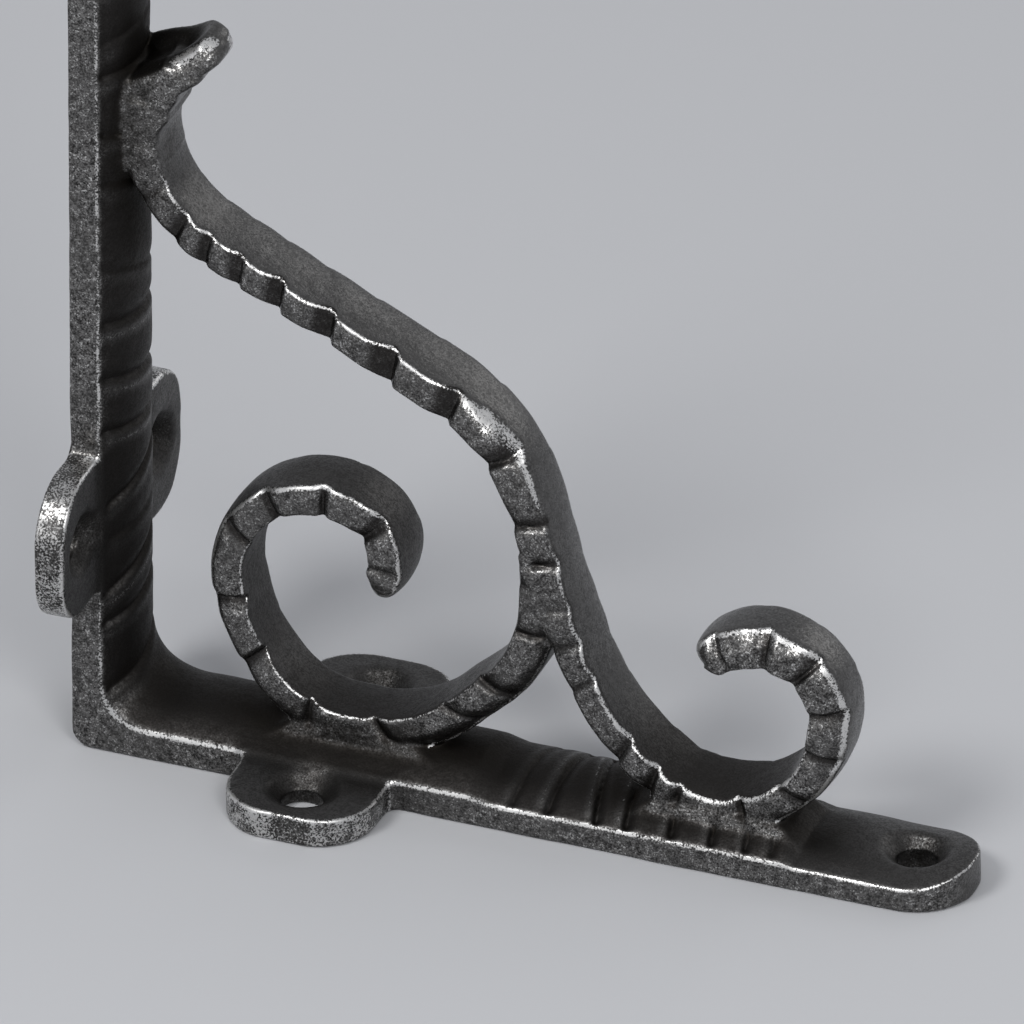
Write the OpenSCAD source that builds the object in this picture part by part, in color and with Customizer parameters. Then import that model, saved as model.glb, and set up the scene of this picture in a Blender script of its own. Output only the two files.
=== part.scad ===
/* [Legs] */
// Length of the shelf leg, from the back of the wall leg to its rounded end
shelf_len = 150; // [140:1:180]
// Length of the wall leg, from the underside of the shelf leg to its rounded end
wall_len = 160; // [152:1:190]
// Width of both legs
leg_w = 20.3; // [19:0.1:24]
// Thickness of the legs at their long edges
edge_t = 5.1; // [4.4:0.1:6]
// Height of the crown above the long edges
crown = 4.1; // [3.6:0.1:4.8]
// Thickness of the shelf leg's long edges where it is hammered
hammered_t = 4.4; // [3.8:0.1:5]
// Height of the crown where the shelf leg is hammered
hammered_crown = 3.6; // [3.2:0.1:4]
// Thickness of the end tabs at their long edges
tab_t = 4; // [3.4:0.1:4.6]
// Height of the crown of the end tabs
tab_crown = 2.3; // [1.6:0.1:3]
// Radius of the rounded heel where the legs meet
heel_r = 3.6; // [2:0.1:5]
// Radius of the fillet inside the bend
bend_fillet_r = 6; // [3:0.1:7]

/* [Screw ears and holes] */
// Distance of the ears' middle from the heel, along either leg
ear_at = 42; // [38:0.5:46]
// Length of an ear along the leg
ear_len = 25; // [22:0.5:28]
// Reach of an ear beyond the leg's long edge
ear_reach = 15.5; // [14:0.5:18]
// Corner radius of an ear
ear_round = 9.5; // [6:0.5:11]
// Distance of an ear's hole from the leg's long edge
ear_hole_off = 6.4; // [6:0.1:8]
// Radius of the screw holes
hole_r = 3.3; // [2.5:0.1:3.8]
// Radius of the countersinks at the surface
sink_r = 5.8; // [5:0.1:5.9]
// Depth of the countersinks
sink_depth = 2.5; // [2:0.1:2.8]

/* [Scroll bars] */
// Width of the brace's upper half, across the bracket
bar_w = 12.2; // [11:0.1:12.6]
// Width of the brace at its foot and in its curl
curl_w = 11.2; // [10:0.1:12.2]
// Width of the inner scroll
scroll_w = 11.8; // [10.6:0.1:12.2]
// Thickness of the scroll bars
bar_t = 5.5; // [4.8:0.1:6]
// Length of one hammered facet along a bar
facet_len = 6.5; // [5:0.1:9]
// Swell of a hammered facet's side
facet_swell = 0.3; // [0.1:0.05:0.5]
// Depth of the notch between two facets
notch_depth = 0.5; // [0.2:0.05:0.7]
// Width of the bevel along a bar's edges
bar_bevel = 0.6; // [0.3:0.05:1]
// Height at which the brace bends away from the wall leg
brace_leaves_z = 112.5; // [109:0.5:116]
// Distance from the back of the wall leg to the middle of the curl's foot
curl_foot_x = 107; // [104:0.5:109]
// Distance from the back of the wall leg to the middle of the inner scroll's foot
scroll_foot_x = 45.5; // [43.5:0.5:47]
// Height at which the inner scroll's middle line would meet the brace
fork_z = 40.5; // [38.5:0.5:42]

/* [Hammering of the legs] */
// Distance between the grooves on the wall leg
wall_groove_pitch = 9.5; // [8:0.1:12]
// Distance between the grooves on the shelf leg
shelf_groove_pitch = 6.3; // [5.5:0.1:8]
// Depth of the grooves
groove_depth = 0.5; // [0.3:0.05:0.7]
// Half the width of a groove
groove_half = 1; // [0.6:0.1:1.4]
// Swell of a leg's crown between two grooves
crown_swell = 0.2; // [0:0.05:0.3]

/* [Hidden] */

iron = [0.25, 0.25, 0.25];
worn_iron = [0.33, 0.32, 0.31];
eps = 0.01;
// Gap between a foot's saddle and the bar that it holds
saddle_gap = 0.08;

// Where the parts of a leg begin, measured from the heel
bend_len = edge_t + bend_fillet_r + 2;
pad_past_foot = 24.5;
pad_end = scroll_foot_x + pad_past_foot;
foot_half = 20;
foot_from = curl_foot_x - foot_half;
tab_past_foot = 14.5;
shelf_tab_at = curl_foot_x + tab_past_foot;
wall_tab_len = 21;
wall_tab_at = wall_len - wall_tab_len;

// A seat is a flat cut into the crown, just wide enough for a bar
seat_side = 0.2;
function crown_radius(rise) = (pow(leg_w / 2, 2) + rise * rise) / (2 * rise);
function seat_height(edge, rise) =
    edge + rise - crown_radius(rise) + sqrt(pow(crown_radius(rise), 2) - pow(bar_w / 2 + seat_side, 2));
root_seat = seat_height(edge_t, crown);
curl_seat = seat_height(hammered_t, hammered_crown);
// How deep a bar's round underside would reach below its seat
bite = 0.5;
// How far the seats reach from the middle of what sits on them
scroll_seat_left = 16;
scroll_seat_right = 18;
brace_seat_below = 12;
brace_seat_above = 14;
// Where the grooves stop short of the brace and of the shelf leg's tab
wall_groove_stop = 22;
shelf_groove_stop = 6;
// Height of the cheeks of a foot, and how far they reach from the foot's middle
cheek_h = 2;
scroll_cheek_left = 9;
scroll_cheek_right = 10.5;
curl_cheek = 9.5;

// A path starts at [x, z, heading] and runs along steps: [radius, turn] is an arc, and
// [0, length] is straight. A positive turn goes to the left.
function advance(p, step, part = 1) =
    step[0] == 0
    ? [p[0] + part * step[1] * cos(p[2]), p[1] + part * step[1] * sin(p[2]), p[2]]
    : let (turn = part * step[1], r = sign(turn) * step[0])
      [p[0] + r * (sin(p[2] + turn) - sin(p[2])),
       p[1] - r * (cos(p[2] + turn) - cos(p[2])),
       p[2] + turn];
function step_len(step) = step[0] == 0 ? step[1] : step[0] * abs(step[1]) * PI / 180;
function path_len(steps, i = 0) = i >= len(steps) ? 0 : step_len(steps[i]) + path_len(steps, i + 1);
function along(p, steps, s, i = 0) =
    let (l = step_len(steps[i]))
    s <= l || i == len(steps) - 1
    ? advance(p, steps[i], s / l)
    : along(advance(p, steps[i]), steps, s - l, i + 1);
function path_end(p, steps) = along(p, steps, path_len(steps));

// The brace: down the wall leg, out along a long slope, down past the fork, round the foot
// and up into the end curl
slope_angle = -26;
fork_angle = -73;
top_run = 5.5;
leave_r = 21.3;
crest_r = 27.3;
crest_turn = 39.5;
fall_r = 44;
heel_high_r = 45.5;
heel_arc_r = 16.8;
heel_turn = 40.5;
curl_low_r = 19;
curl_high_r = 10.8;
curl_tip_r = 15.2;
brace_start = [root_seat + bar_t / 2, brace_leaves_z + top_run, -90];
brace_top = [[0, top_run], [leave_r, 90 + slope_angle]];
brace_crest = [[crest_r, -crest_turn], [fall_r, fork_angle - slope_angle + crest_turn]];
brace_heel = [[heel_high_r, -fork_angle - heel_turn], [heel_arc_r, heel_turn]];
curl = [[curl_low_r, 94.5], [curl_high_r, 101.5], [curl_tip_r, 32]];
brace_foot = [curl_foot_x, curl_seat + bar_t / 2 - bite];
// The two straight runs are as long as the brace needs to reach its foot
fixed_run = path_end(brace_start, concat(brace_top, brace_crest, brace_heel));
gap_to_foot = [brace_foot[0] - fixed_run[0], brace_foot[1] - fixed_run[1]];
run_cross = sin(fork_angle - slope_angle);
slope_run = (gap_to_foot[0] * sin(fork_angle) - gap_to_foot[1] * cos(fork_angle)) / run_cross;
fork_run = (gap_to_foot[1] * cos(slope_angle) - gap_to_foot[0] * sin(slope_angle)) / run_cross;
brace_steps = concat(brace_top, [[0, slope_run]], brace_crest, [[0, fork_run]], brace_heel, curl);

// The flat underside of the brace at the fork, which the inner scroll is scarfed to
fork_start = path_end(brace_start, concat(brace_top, [[0, slope_run]], brace_crest));
fork_normal = [sin(fork_angle), -cos(fork_angle)];
fork_face = [fork_start[0] + fork_normal[0] * bar_t / 2, fork_start[1] + fork_normal[1] * bar_t / 2];
function fork_x(z) = fork_face[0] + (z - fork_face[1]) / tan(fork_angle);

// The inner scroll is worked out from its foot: to the right up to the fork, and to the left
// round the scroll. Its straight run reaches the brace.
scroll_base = [scroll_foot_x, root_seat + bar_t / 2 - bite];
foot_flat = 3;
rise_low_r = 25.2;
rise_high_r = 24.5;
lean = 43.5;
rise_run = (fork_x(fork_z) - scroll_base[0] - foot_flat / 2 - rise_low_r * sin(lean)
    - rise_high_r * (1 - sin(lean))) / cos(lean);
rise = [[0, foot_flat / 2], [rise_low_r, lean], [0, rise_run], [rise_high_r, 90 - lean]];
rise_end = path_end([scroll_base[0], scroll_base[1], 0], rise);
// The scarf runs out where the bar's left face meets the brace
scarf_edge = 0.5;
scarf_tip_z = fork_z - (bar_t / 2 - scarf_edge) * tan(fork_angle);
scarf_run = scarf_tip_z - rise_end[1];
scroll_start = [rise_end[0], scarf_tip_z, -90];
round_low_r = 14.5;
round_back_r = 29.8;
round_top_r = 16;
hook_r = 9.2;
hook_tip_r = 3.8;
scroll_steps = [[0, scarf_run], [rise_high_r, lean - 90], [0, rise_run], [rise_low_r, -lean],
    [0, foot_flat], [round_low_r, -43.5], [round_back_r, -44.5], [round_top_r, -105], [hook_r, -95],
    [hook_tip_r, -45]];

// The spur flicks out where the brace's top lies on the wall leg
spur_start = [brace_start[0], brace_start[1], 90];
spur_lift = 4;
spur_dish = 0.6;
spur_bend_r = 3.5;
spur_neck = 3;
spur_back_r = 40;
spur_tip = 5.8;
spur_steps = [[spur_bend_r, -55], [0, spur_neck], [spur_back_r, 8], [0, spur_tip]];

// One ring of a bar: a bevelled rectangle whose sides swell within a facet and are nicked
// between facets. half is [half thickness, half width].
function ring(p, half, swell, nick) =
    let (a = half[0], t = half[1] - bar_bevel, b = half[1] - nick, e = min(bar_bevel, a * 0.8),
         m = b + swell,
         cuts = [[a, -t], [a, t], [a - e, b], [0, m], [e - a, b],
                 [-a, t], [-a, -t], [e - a, -b], [0, -m], [a - e, -b]])
    [for (c = cuts) place(c, p)];

// Puts a point of a section, [to the left, across], at a place of a path
function place(c, p) = [p[0] - c[0] * sin(p[2]), c[1], p[1] + c[0] * cos(p[2])];

// A point beyond a seat is moved onto it
function clamp_seats(q, low_x, low_z) = [max(q[0], low_x), q[1], max(q[2], low_z)];

// How far the inner scroll reaches to the left of its middle line: up to the fork's face
function left_reach(p) =
    let (slant = [-sin(p[2]), cos(p[2])] * fork_normal)
    slant < 0 ? min(bar_t / 2, (fork_face - [p[0], p[1]]) * fork_normal / slant) : bar_t / 2;
function shifted(p, left) = [p[0] - left * sin(p[2]), p[1] + left * cos(p[2]), p[2]];

// Rounds off the end of a bar over its last millimetres
function end_round(left, r) = left >= r ? 1 : sqrt(max(1 - pow(1 - left / r, 2), 0.03));

// Places of the rings along a bar: each facet has its notch, its two shoulders and its middle
function stations(total) =
    let (n = round(total / facet_len), f = total / n)
    concat([for (i = [0 : n - 1], u = [0, 0.14, 0.5, 0.86]) (i + u) * f],
        [for (k = [0.5, 0.25, 0.08]) total - k * bar_t / 2], [total]);
function facet_place(total, s) =
    let (f = total / round(total / facet_len)) s / f - floor(s / f);
function notch_at(u) = min(u, 1 - u) < 0.05 ? 1 : 0;

// A closed skin over rings of the same count of points
module skin(rings) {
    k = len(rings[0]);
    n = len(rings);
    points = [for (r = rings, q = r) q];
    sides = [for (i = [0 : n - 2], j = [0 : k - 1], h = [0, 1])
        let (a = i * k + j, b = i * k + (j + 1) % k, c = a + k, d = b + k)
        h == 0 ? [a, b, d] : [a, d, c]];
    // Both ends are fans from the middle of the underside's edge
    fan = [for (j = [1 : k - 2]) [5, (5 + j) % k, (6 + j) % k]];
    first = [for (f = fan) [f[0], f[2], f[1]]];
    last = [for (f = fan) [for (q = f) q + (n - 1) * k]];
    polyhedron(points = points, faces = concat(sides, first, last));
}

// The profile of a crown that is turned about its axis: [radius, place along the leg].
// Grooves run from first to last, one every pitch, and the crown swells between two of them.
function grooved(long, r, first, pitch, last) =
    concat([[0, 0], [r, 0]],
        [for (x = [first : pitch : last]) each concat([[r, x - groove_half], [r - groove_depth, x],
            [r, x + groove_half]], x + pitch > last ? [] : [[r + crown_swell, x + pitch / 2]])],
        [[r, long], [0, long]]);

// A stretch of a leg that lies along X with its back on the ground. Its inner face is a
// cylinder, with grooves across it if they are asked for.
module leg_stretch(from, to, edge, rise, first = 1, pitch = 1, last = 0) {
    r = crown_radius(rise);
    translate([from, 0, 0])
    intersection() {
        translate([0, -leg_w / 2, 0]) cube([to - from, leg_w, edge + rise + crown_swell]);
        translate([0, 0, edge + rise - r])
        rotate([0, 90, 0])
        rotate_extrude($fn = 96) polygon(grooved(to - from, r, first, pitch, last));
    }
}

// The rounded end of a leg, with its hole at the middle of the round
module leg_tab(from, to) {
    hole_x = to - leg_w / 2;
    difference() {
        intersection() {
            leg_stretch(from, to, tab_t, tab_crown);
            union() {
                translate([from, -leg_w / 2, 0]) cube([hole_x - from, leg_w, edge_t + crown]);
                translate([hole_x, 0, 0]) cylinder(r = leg_w / 2, h = edge_t + crown, $fn = 96);
            }
        }
        translate([hole_x, 0, 0]) screw_hole(tab_t + tab_crown);
    }
}

// A countersunk hole up through a plate whose face is at the given height
module screw_hole(face) {
    translate([0, 0, -1]) cylinder(r = hole_r, h = face + 2, $fn = 48);
    translate([0, 0, face - sink_depth])
    cylinder(r1 = hole_r, r2 = sink_r + (sink_r - hole_r) / sink_depth, h = sink_depth + 1, $fn = 48);
}

// A flat seat cut into the crown
module seat_cut(from, to, height) {
    translate([from, -leg_w / 2 - 1, height]) cube([to - from, leg_w + 2, crown + 2]);
}

// Turns what lies along the shelf leg so that it stands along the wall leg
module on_wall() {
    mirror([1, 0, -1]) children();
}

// The origin lies midway between the shelf leg's ear holes, on the flat outer face. All else is
// measured from the heel.
module placed() {
    translate([-ear_at, 0, 0]) children();
}

module shelf_leg() {
    color(iron) placed() {
        difference() {
            leg_stretch(bend_len, pad_end, edge_t, crown);
            seat_cut(scroll_foot_x - scroll_seat_left, scroll_foot_x + scroll_seat_right, root_seat);
        }
        difference() {
            leg_stretch(pad_end, shelf_tab_at, hammered_t, hammered_crown, shelf_groove_pitch,
                shelf_groove_pitch, shelf_tab_at - pad_end - shelf_groove_stop);
            seat_cut(foot_from, shelf_tab_at, curl_seat);
        }
        leg_tab(shelf_tab_at, shelf_len);
    }
}

module wall_leg() {
    color(iron) placed() on_wall() {
        difference() {
            leg_stretch(bend_len, wall_tab_at, edge_t, crown, wall_groove_pitch / 2, wall_groove_pitch,
                brace_leaves_z - wall_groove_stop - bend_len);
            seat_cut(brace_leaves_z - brace_seat_below, brace_leaves_z + brace_seat_above, root_seat);
        }
        leg_tab(wall_tab_at, wall_len);
    }
}

// The bend between the legs, with a rounded heel and a fillet inside
module corner_bend() {
    color(iron) placed()
    difference() {
        union() {
            leg_stretch(0, bend_len, edge_t, crown);
            on_wall() leg_stretch(0, bend_len, edge_t, crown);
            translate([edge_t - eps, -leg_w / 2, edge_t - eps])
            difference() {
                cube([bend_fillet_r, leg_w, bend_fillet_r]);
                translate([bend_fillet_r, -1, bend_fillet_r])
                rotate([-90, 0, 0])
                cylinder(r = bend_fillet_r, h = leg_w + 2, $fn = 64);
            }
        }
        difference() {
            translate([-1, -leg_w, -1]) cube([heel_r + 1, 2 * leg_w, heel_r + 1]);
            translate([heel_r, -leg_w - 1, heel_r])
            rotate([-90, 0, 0])
            cylinder(r = heel_r, h = 2 * leg_w + 2, $fn = 64);
        }
    }
}

// A flat ear on the +Y edge of a leg that lies along X
module ear() {
    difference() {
        translate([ear_at - ear_len / 2, leg_w / 2, 0])
        linear_extrude(edge_t)
        intersection() {
            square([ear_len, ear_reach]);
            union() {
                translate([0, -ear_round]) square([ear_len, ear_reach]);
                translate([ear_round, 0]) square([ear_len - 2 * ear_round, ear_reach]);
                for (x = [ear_round, ear_len - ear_round])
                    translate([x, ear_reach - ear_round]) circle(r = ear_round, $fn = 64);
            }
        }
        translate([ear_at, leg_w / 2 + ear_hole_off, 0]) screw_hole(edge_t);
    }
}

module shelf_ear_far() {
    color(iron) placed() ear();
}

module shelf_ear_near() {
    color(iron) placed() mirror([0, 1, 0]) ear();
}

module wall_ear_far() {
    color(iron) placed() on_wall() ear();
}

module wall_ear_near() {
    color(iron) placed() on_wall() mirror([0, 1, 0]) ear();
}

// The brace narrows between its crest and its foot
narrow_from = path_len(concat(brace_top, [[0, slope_run]]));
narrow_to = path_len(concat(brace_top, [[0, slope_run]], brace_crest, [[0, fork_run]]));
function brace_w(s) =
    bar_w + (curl_w - bar_w) * min(max((s - narrow_from) / (narrow_to - narrow_from), 0), 1);

module brace_scroll() {
    total = path_len(brace_steps);
    rings = [for (s = stations(total))
        let (p = along(brace_start, brace_steps, s), u = facet_place(total, s),
             tip = end_round(total - s, bar_t / 2),
             half = [bar_t / 2 * tip, brace_w(s) / 2 - bar_t / 2 * (1 - tip) * 0.7],
             n = notch_at(u))
        [for (q = ring(p, half, facet_swell * (1 - pow(2 * u - 1, 2)) * tip, n * notch_depth * tip))
            clamp_seats(q, root_seat, curl_seat)]];
    color(worn_iron) placed() skin(rings);
}

// The flicked end: it thins and narrows to a rounded tip, and its top is dished, with the far
// edge standing higher than the near one at the root
function spur_ring(p, a, b, lift, dish) =
    let (e = min(bar_bevel, a * 0.8), t = b - e,
         cuts = [[a, -t], [a - dish + lift * 0.4, 0], [a + lift, t], [a + lift - e, b], [e - a, b],
                 [-a, t], [-a, -t], [e - a, -b], [a - e, -b]])
    [for (c = cuts) clamp_seats(place(c, p), root_seat, 0)];

module spur() {
    total = path_len(spur_steps);
    n = 16;
    rings = [for (i = [0 : n])
        let (s = total * (1 - pow(1 - i / n, 1.4)), p = along(spur_start, spur_steps, s),
             w = s / total, tip = end_round(total - s, bar_t / 2),
             thick = bar_t / 2 * (1 - 0.15 * w) * tip,
             wide = bar_w / 2 * (1 - 0.4 * pow(w, 2)) * (0.55 + 0.45 * tip))
        let (lift = spur_lift * (1 - w) * sin(min(360 * w, 90)))
        spur_ring(p, thick, wide, lift, spur_dish * sin(180 * w))];
    color(worn_iron) placed() skin(rings);
}

module inner_scroll() {
    total = path_len(scroll_steps);
    rings = [for (s = stations(total))
        let (p = along(scroll_start, scroll_steps, s), u = facet_place(total, s),
             tip = end_round(total - s, bar_t / 2), cut = (bar_t / 2 - left_reach(p)) / 2,
             half = [bar_t / 2 * tip - cut, scroll_w / 2 - bar_t / 2 * (1 - tip) * 0.7],
             n = notch_at(u))
        [for (q = ring(shifted(p, -cut), half, facet_swell * (1 - pow(2 * u - 1, 2)) * tip,
            n * notch_depth * tip))
            clamp_seats(q, 0, root_seat)]];
    color(worn_iron) placed() skin(rings);
}

// A foot: two cheeks that fill the wedges between a bar's round underside and its seat.
// The bar's middle line rises to the left of x = left and to the right of x = right.
module saddle(wide, seat, left, left_r, right, right_r, reach_left, reach_right) {
    mid = seat + bar_t / 2 - bite;
    translate([0, wide / 2, 0])
    rotate([90, 0, 0])
    linear_extrude(wide)
    difference() {
        polygon([[left - reach_left - cheek_h, seat], [left - reach_left, seat + cheek_h],
                 [right + reach_right, seat + cheek_h], [right + reach_right + cheek_h, seat]]);
        intersection() {
            translate([left, mid + left_r]) circle(r = left_r + bar_t / 2 + saddle_gap, $fn = 128);
            translate([left - reach_left - cheek_h, seat - 1])
            square([reach_left + cheek_h + eps, cheek_h + 2]);
        }
        intersection() {
            translate([right, mid + right_r]) circle(r = right_r + bar_t / 2 + saddle_gap, $fn = 128);
            translate([right - eps, seat - 1]) square([reach_right + cheek_h + eps, cheek_h + 2]);
        }
        translate([left - eps, seat - 1]) square([right - left + 2 * eps, cheek_h + 2]);
    }
}

module scroll_foot() {
    color(iron) placed()
    saddle(scroll_w, root_seat, scroll_foot_x - foot_flat / 2, round_low_r, scroll_foot_x + foot_flat / 2,
        rise_low_r, scroll_cheek_left, scroll_cheek_right);
}

module curl_foot() {
    color(iron) placed()
    saddle(curl_w, curl_seat, brace_foot[0], heel_arc_r, brace_foot[0], curl_low_r, curl_cheek, curl_cheek);
}

wall_leg();
shelf_leg();
corner_bend();
wall_ear_near();
wall_ear_far();
shelf_ear_near();
shelf_ear_far();
brace_scroll();
spur();
inner_scroll();
scroll_foot();
curl_foot();
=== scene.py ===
import math

import bmesh
import bpy
import numpy as np
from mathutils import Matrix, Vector


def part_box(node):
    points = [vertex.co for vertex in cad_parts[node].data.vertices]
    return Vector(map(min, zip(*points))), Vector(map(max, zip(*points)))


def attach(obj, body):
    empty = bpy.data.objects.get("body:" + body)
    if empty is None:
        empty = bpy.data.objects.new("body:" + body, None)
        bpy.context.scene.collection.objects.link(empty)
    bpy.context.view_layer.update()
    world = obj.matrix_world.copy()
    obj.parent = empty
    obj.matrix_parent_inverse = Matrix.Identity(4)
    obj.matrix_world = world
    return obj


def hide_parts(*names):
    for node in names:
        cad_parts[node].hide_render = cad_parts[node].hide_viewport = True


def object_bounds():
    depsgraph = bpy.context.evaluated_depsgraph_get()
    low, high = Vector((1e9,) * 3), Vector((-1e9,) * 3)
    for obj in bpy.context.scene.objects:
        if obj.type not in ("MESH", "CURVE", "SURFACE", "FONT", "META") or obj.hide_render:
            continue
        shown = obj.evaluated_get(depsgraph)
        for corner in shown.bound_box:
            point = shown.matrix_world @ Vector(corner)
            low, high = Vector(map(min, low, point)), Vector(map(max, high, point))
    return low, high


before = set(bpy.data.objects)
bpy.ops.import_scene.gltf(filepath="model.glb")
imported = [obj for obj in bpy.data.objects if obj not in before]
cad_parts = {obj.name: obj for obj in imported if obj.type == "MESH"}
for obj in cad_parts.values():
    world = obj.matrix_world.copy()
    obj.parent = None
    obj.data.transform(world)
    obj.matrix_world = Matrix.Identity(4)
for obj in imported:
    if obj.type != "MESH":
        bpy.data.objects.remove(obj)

cad_low, cad_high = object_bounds()
MM = 0.001

# Sizes in millimetres, measured from the heel: x along the shelf leg, z up the wall leg
HEEL = np.array(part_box("corner_bend")[0]) * [1, 0, 1] / MM
SHELF_LEN, WALL_LEN = 150.0, 160.0
HALF_W = 10.15
BEND = 13.1
EDGE, CROWN = 5.1, 4.1
HAM_EDGE, HAM_CROWN = 4.4, 3.6
TAB_EDGE, TAB_CROWN = 4.0, 2.3
PAD_END, SHELF_TAB, WALL_TAB = 69.5, 121.5, 139.0
EAR_AT, EAR_HALF, EAR_REACH, EAR_ROUND, EAR_HOLE = 42.0, 12.5, 15.5, 9.5, 6.4
HOLE_R, SINK_R, SINK_DEEP, HOLE_SOFT = 3.3, 5.8, 2.5, 0.7
HEEL_R = 3.6
BAR_HALF_T, BAR_HALF_W = 2.75, 6.1
BITE = 0.5
# Softness of the edges of legs and ears, and fillets where the members meet
LEG_SOFT, EAR_SOFT, BACK_SOFT = 0.7, 0.9, 0.5
EAR_FILLET, BAR_FILLET, WEB_FILLET = 2.2, 1.6, 1.0
BEND_FILLET_NEAR, BEND_FILLET_FAR = 7.0, 10.0
# The feet under the scrolls: place, half length, how far they rise over the leg, and half width
SCROLL_FOOT_AT, SCROLL_FOOT_HALF = 46.2, 11.2
CURL_FOOT_AT, CURL_FOOT_HALF = 107.8, 11.5
FOOT_RISE, FOOT_HALF_W = 1.6, 5.9


def seat(edge, rise):
    """Height of the crown where its chord is as wide as a bar."""
    big = (HALF_W ** 2 + rise ** 2) / (2 * rise)
    return edge + rise - big + math.sqrt(big ** 2 - (BAR_HALF_W + 0.2) ** 2)


ROOT_SEAT = seat(EDGE, CROWN)
CURL_SEAT = seat(HAM_EDGE, HAM_CROWN)


# Paths of the bars in the x-z plane, as in the frame: (radius, turn) or (0, length)
def step_on(p, step):
    x, z, h = p
    a = math.radians(h)
    if step[0] == 0:
        return (x + step[1] * math.cos(a), z + step[1] * math.sin(a), h)
    r = math.copysign(step[0], step[1])
    b = math.radians(h + step[1])
    return (x + r * (math.sin(b) - math.sin(a)), z - r * (math.cos(b) - math.cos(a)), h + step[1])


def step_length(step):
    return step[1] if step[0] == 0 else step[0] * abs(math.radians(step[1]))


def walk(p, steps):
    for step in steps:
        p = step_on(p, step)
    return p


def path_length(steps):
    return sum(step_length(s) for s in steps)


SLOPE, FORK = -26.0, -73.0
brace_start = (ROOT_SEAT + BAR_HALF_T, 118.0, -90.0)
brace_top = [(0, 5.5), (21.3, 90 + SLOPE)]
brace_crest = [(27.3, -39.5), (44, FORK - SLOPE + 39.5)]
brace_heel = [(45.5, -FORK - 40.5), (16.8, 40.5)]
curl = [(19, 94.5), (10.8, 101.5), (15.2, 32)]
brace_foot = (107.0, CURL_SEAT + BAR_HALF_T - BITE)
fixed = walk(brace_start, brace_top + brace_crest + brace_heel)
gap_x, gap_z = brace_foot[0] - fixed[0], brace_foot[1] - fixed[1]
sin_s, cos_s = math.sin(math.radians(SLOPE)), math.cos(math.radians(SLOPE))
sin_f, cos_f = math.sin(math.radians(FORK)), math.cos(math.radians(FORK))
cross = math.sin(math.radians(FORK - SLOPE))
slope_run = (gap_x * sin_f - gap_z * cos_f) / cross
fork_run = (gap_z * cos_s - gap_x * sin_s) / cross
BRACE = brace_top + [(0, slope_run)] + brace_crest + [(0, fork_run)] + brace_heel + curl

fork_start = walk(brace_start, brace_top + [(0, slope_run)] + brace_crest)
fork_face = (fork_start[0] + sin_f * BAR_HALF_T, fork_start[1] - cos_f * BAR_HALF_T)


def fork_x(z):
    return fork_face[0] + (z - fork_face[1]) / math.tan(math.radians(FORK))


LEAN, LOW_R, HIGH_R, FORK_Z, SCROLL_X = 43.5, 25.2, 24.5, 40.5, 45.5
scroll_base = (SCROLL_X, ROOT_SEAT + BAR_HALF_T - BITE)
sin_l, cos_l = math.sin(math.radians(LEAN)), math.cos(math.radians(LEAN))
rise_run = (fork_x(FORK_Z) - SCROLL_X - 1.5 - LOW_R * sin_l - HIGH_R * (1 - sin_l)) / cos_l
rise_end = walk((*scroll_base, 0.0), [(0, 1.5), (LOW_R, LEAN), (0, rise_run), (HIGH_R, 90 - LEAN)])
scarf_tip = FORK_Z - (BAR_HALF_T - 0.5) * math.tan(math.radians(FORK))
scroll_start = (rise_end[0], scarf_tip, -90.0)
SCROLL = [(0, scarf_tip - rise_end[1]), (HIGH_R, LEAN - 90), (0, rise_run), (LOW_R, -LEAN), (0, 3),
          (14.5, -43.5), (29.8, -44.7), (16, -105), (9.2, -95), (3.8, -45)]
spur_start = (brace_start[0], brace_start[1], 90.0)
SPUR = [(3.5, -55), (0, 3), (40, 8), (0, 5.8)]

# The grid that the metal's distance field lives on
STEP = 0.4
MARGIN, HALF_SPAN = 2.4, 26.4
gx_ = np.arange(-MARGIN, SHELF_LEN + MARGIN, STEP)
gy_ = np.arange(-HALF_SPAN, HALF_SPAN + STEP / 2, STEP)
gz_ = np.arange(-MARGIN, WALL_LEN + MARGIN, STEP)
shape = (len(gx_), len(gy_), len(gz_))
FAR = 6.0
# The metal's field, and of the nearest member its own field, its number, its dents and its ridges
metal = np.full(shape, FAR, np.float32)
nearest = np.full(shape, FAR, np.float32)
label = np.zeros(shape, np.uint8)
recess = np.zeros(shape, np.float32)
ridge = np.zeros(shape, np.float32)
NODES = ["wall_leg", "shelf_leg", "corner_bend", "wall_ear_near", "wall_ear_far", "shelf_ear_near",
         "shelf_ear_far", "brace_scroll", "spur", "inner_scroll", "scroll_foot", "curl_foot"]


def soft_min(a, b, k):
    return np.minimum(a, b) - np.maximum(k - np.abs(a - b), 0) ** 2 / (4 * k)


def soft_max(a, b, k):
    return -soft_min(-a, -b, k)


def ramp(v, low, high):
    """Rises smoothly from 0 at low to 1 at high."""
    u = np.clip((v - low) / (high - low), 0, 1)
    return u * u * (3 - 2 * u)


def window(lo, hi):
    """Slices of the grid that hold a box, and the grid's places there."""
    out, axes = [], []
    for g, a, b in zip((gx_, gy_, gz_), lo, hi):
        i, j = np.searchsorted(g, a), np.searchsorted(g, b)
        out.append(slice(max(i - 1, 0), min(j + 1, len(g))))
        axes.append(g[out[-1]].astype(np.float32))
    x, y, z = axes
    return tuple(out), x[:, None, None], y[None, :, None], z[None, None, :]


def ridge_of(a, b, wide):
    """1 on the edge between two faces of a member, falling to 0 beside it."""
    return (np.exp(-((a - b) / wide) ** 2) * ramp(a + b, -3.6, -2.4)).astype(np.float32)


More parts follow.
